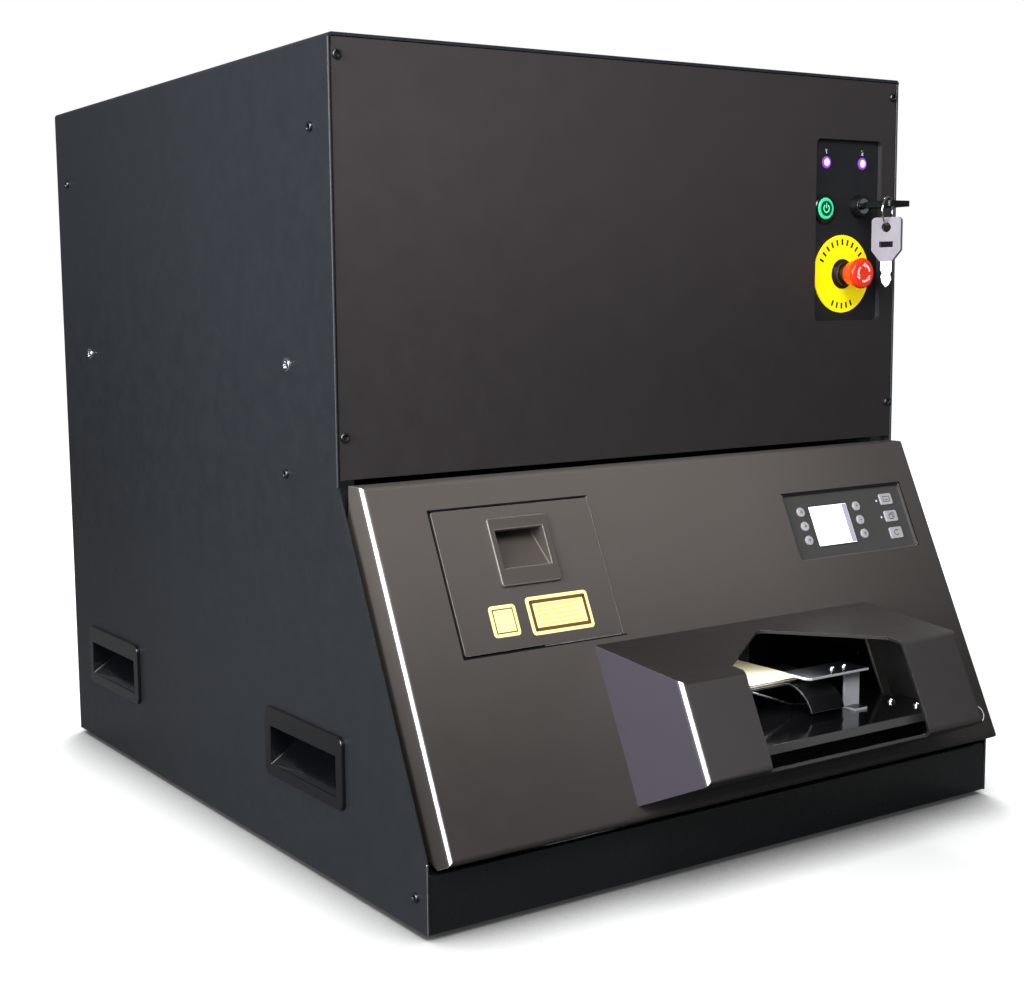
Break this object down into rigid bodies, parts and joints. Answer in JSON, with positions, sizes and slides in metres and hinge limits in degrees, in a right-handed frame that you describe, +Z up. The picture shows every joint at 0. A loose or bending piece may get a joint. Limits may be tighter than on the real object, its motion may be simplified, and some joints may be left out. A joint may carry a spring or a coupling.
{
  "type": "id card printer",
  "caption": "Desk-top card printer: tall steel cabinet, sloped lift-up cover with display, card output hood and drop-down door, key switch and stop button above.",
  "frame": {"origin": "on the resting plane, under the middle of the whole object", "axes": "X to the right seen from the front, Y to the back, Z up; the sloped cover faces -Y"},
  "size_m": [0.52, 0.6748, 0.5559],
  "materials": {
    "case_paint": "fine matt powder coat",
    "front_paint": "fine matt powder coat",
    "plinth_plastic": "semi-gloss",
    "cover_paint": "matt powder coat",
    "door_paint": "matt powder coat",
    "hood_paint": "matt powder coat",
    "foot_rubber": "matt",
    "black_plastic": "gloss moulding",
    "pull_plastic": "satin moulding",
    "screw_steel": "dark zinc",
    "control_grey": "matt",
    "lamp_glass": "clear with a violet tint",
    "button_green": "lit translucent",
    "lock_black": "satin",
    "lock_chrome": "polished",
    "key_plastic": "satin",
    "key_metal": "worn",
    "stop_yellow": "printed sheet",
    "stop_black": "satin",
    "stop_red": "satin gloss",
    "hinge_steel": "zinc plated",
    "display_black": "fine texture",
    "screen_glass": "lit",
    "key_grey": "satin",
    "tray_black": "gloss",
    "bright_steel": "bright",
    "card_plastic": "satin",
    "frame_steel": "zinc plated",
    "roller_rubber": "ground",
    "motor_black": "satin",
    "pulley_alu": "turned",
    "belt_rubber": "matt",
    "unit_alu": "anodised",
    "board_green": "solder mask",
    "fan_plastic": "satin",
    "inlet_plastic": "satin"
  },
  "bodies": {
    "cabinet": {"base_pan": "case_paint", "left_side_panel": "case_paint", "right_side_panel": "case_paint", "top_panel": "case_paint", "rear_panel": "case_paint", "chassis_frame": "frame_steel", "upper_front_panel": "front_paint", "front_plinth": "plinth_plastic", "rubber_feet": "foot_rubber", "carry_handles": "black_plastic", "panel_screws": "screw_steel", "control_plate": "control_grey", "lamp_lenses": "lamp_glass", "power_button_housing": "black_plastic", "key_switch_body": "lock_black", "stop_button_plate": "stop_yellow", "stop_button_body": "stop_black", "cover_hinge_brackets": "hinge_steel", "printer_frame": "frame_steel", "feed_motor": "motor_black", "drive_belt": "belt_rubber", "marking_unit": "unit_alu", "scan_head": "motor_black", "power_supply": "unit_alu", "control_board": "board_green", "fan_frame": "fan_plastic", "mains_inlet": "inlet_plastic"},
    "cover": {"front_cover": "cover_paint", "output_hood": "hood_paint", "cover_hinge_ears": "hinge_steel", "display_plate": "display_black", "display_screen": "screen_glass", "door_hinge_pins": "hinge_steel", "output_tray": "tray_black", "output_bracket": "bright_steel", "card_chute": "tray_black"},
    "door": {"access_door": "door_paint", "finger_pull": "pull_plastic"},
    "card": {"printed_card": "card_plastic"},
    "power_cap": {"power_button": "button_green"},
    "lock_rotor": {"key_switch_rotor": "lock_chrome"},
    "lock_key": {"inserted_key": "key_plastic"},
    "ring": {"key_ring": "lock_chrome"},
    "hanging_key": {"spare_key": "key_metal"},
    "stop_stem": {"stop_button_stem": "stop_black"},
    "stop_head": {"stop_button_head": "stop_red"},
    "drive_shaft": {"drive_roller": "roller_rubber"},
    "pressure_shaft": {"pressure_roller": "roller_rubber"},
    "motor_shaft": {"motor_pulley": "pulley_alu"},
    "fan_wheel": {"fan_rotor": "fan_plastic"},
    "inlet_rocker": {"mains_rocker": "inlet_plastic"},
    "round_cap_1": {"round_key_1": "key_grey"},
    "round_cap_2": {"round_key_2": "key_grey"},
    "round_cap_3": {"round_key_3": "key_grey"},
    "round_cap_4": {"round_key_4": "key_grey"},
    "round_cap_5": {"round_key_5": "key_grey"},
    "round_cap_6": {"round_key_6": "key_grey"},
    "square_cap_1": {"square_key_1": "key_grey"},
    "square_cap_2": {"square_key_2": "key_grey"},
    "square_cap_3": {"square_key_3": "key_grey"}
  },
  "joints": [
    {"name": "cover_lift", "type": "hinge", "parent": "cabinet", "child": "cover", "pos_m": [0, -0.16715, 0.262], "axis": [-1, 0, 0], "range_deg": [0, 70]},
    {"name": "door_drop", "type": "hinge", "parent": "cover", "child": "door", "pos_m": [-0.14, -0.21781, 0.17086], "axis": [1, 0, 0], "range_deg": [0, 80]},
    {"name": "card_slide", "type": "slide", "parent": "cover", "child": "card", "axis": [0, -1, 0], "range_m": [0, 0.03]},
    {"name": "round_key_1_press", "type": "slide", "parent": "cover", "child": "round_cap_1", "axis": [0, 0.9107, -0.413], "range_m": [0, 0.0006], "stiffness_N_per_m": 900, "springref_m": -0.0004},
    {"name": "round_key_2_press", "type": "slide", "parent": "cover", "child": "round_cap_2", "axis": [0, 0.9107, -0.413], "range_m": [0, 0.0006], "stiffness_N_per_m": 900, "springref_m": -0.0004},
    {"name": "round_key_3_press", "type": "slide", "parent": "cover", "child": "round_cap_3", "axis": [0, 0.9107, -0.413], "range_m": [0, 0.0006], "stiffness_N_per_m": 900, "springref_m": -0.0004},
    {"name": "round_key_4_press", "type": "slide", "parent": "cover", "child": "round_cap_4", "axis": [0, 0.9107, -0.413], "range_m": [0, 0.0006], "stiffness_N_per_m": 900, "springref_m": -0.0004},
    {"name": "round_key_5_press", "type": "slide", "parent": "cover", "child": "round_cap_5", "axis": [0, 0.9107, -0.413], "range_m": [0, 0.0006], "stiffness_N_per_m": 900, "springref_m": -0.0004},
    {"name": "round_key_6_press", "type": "slide", "parent": "cover", "child": "round_cap_6", "axis": [0, 0.9107, -0.413], "range_m": [0, 0.0006], "stiffness_N_per_m": 900, "springref_m": -0.0004},
    {"name": "square_key_1_press", "type": "slide", "parent": "cover", "child": "square_cap_1", "axis": [0, 0.9107, -0.413], "range_m": [0, 0.0006], "stiffness_N_per_m": 900, "springref_m": -0.0004},
    {"name": "square_key_2_press", "type": "slide", "parent": "cover", "child": "square_cap_2", "axis": [0, 0.9107, -0.413], "range_m": [0, 0.0006], "stiffness_N_per_m": 900, "springref_m": -0.0004},
    {"name": "square_key_3_press", "type": "slide", "parent": "cover", "child": "square_cap_3", "axis": [0, 0.9107, -0.413], "range_m": [0, 0.0006], "stiffness_N_per_m": 900, "springref_m": -0.0004},
    {"name": "power_press", "type": "slide", "parent": "cabinet", "child": "power_cap", "axis": [0, 1, 0], "range_m": [0, 0.0016], "stiffness_N_per_m": 900, "springref_m": -0.0008},
    {"name": "key_turn", "type": "hinge", "parent": "cabinet", "child": "lock_rotor", "pos_m": [0.21785, -0.15429, 0.45585], "axis": [0, 1, 0], "range_deg": [0, 90]},
    {"name": "key_pull", "type": "slide", "parent": "lock_rotor", "child": "lock_key", "axis": [0, -1, 0], "range_m": [0, 0.02]},
    {"name": "ring_swing", "type": "hinge", "parent": "lock_key", "child": "ring", "pos_m": [0.21785, -0.18829, 0.45585], "axis": [0, 1, 0], "range_deg": [-3, 6]},
    {"name": "spare_key_swing", "type": "hinge", "parent": "ring", "child": "hanging_key", "pos_m": [0.2103, -0.19104, 0.44035], "axis": [-0.9397, -0.342, 0], "range_deg": [-2, 40]},
    {"name": "stop_push", "type": "slide", "parent": "cabinet", "child": "stop_stem", "axis": [0, 1, 0], "range_m": [0, 0.004]},
    {"name": "stop_twist", "type": "hinge", "parent": "stop_stem", "child": "stop_head", "pos_m": [0.20035, -0.15429, 0.40355], "axis": [0, 1, 0], "range_deg": [0, 35], "stiffness_Nm_per_rad": 0.2, "springref_deg": -5.73},
    {"name": "drive_roller_turn", "type": "hinge", "parent": "cabinet", "child": "drive_shaft", "pos_m": [0, -0.10909, 0.10645], "axis": [1, 0, 0], "continuous": true},
    {"name": "pressure_roller_turn", "type": "hinge", "parent": "cabinet", "child": "pressure_shaft", "pos_m": [0, -0.10909, 0.1266], "axis": [1, 0, 0], "continuous": true},
    {"name": "motor_turn", "type": "hinge", "parent": "cabinet", "child": "motor_shaft", "pos_m": [-0.087, -0.10909, 0.04645], "axis": [1, 0, 0], "continuous": true},
    {"name": "fan_turn", "type": "hinge", "parent": "cabinet", "child": "fan_wheel", "pos_m": [-0.13, 0.32091, 0.424], "axis": [0, 1, 0], "continuous": true},
    {"name": "mains_rocker_tilt", "type": "hinge", "parent": "cabinet", "child": "inlet_rocker", "pos_m": [0.17, 0.33031, 0.091], "axis": [-1, 0, 0], "range_deg": [0, 24]}
  ],
  "couplings": [
    {"joint": "pressure_roller_turn", "follows": "drive_roller_turn", "ratio": -1.375},
    {"joint": "motor_turn", "follows": "drive_roller_turn", "ratio": 1}
  ]
}
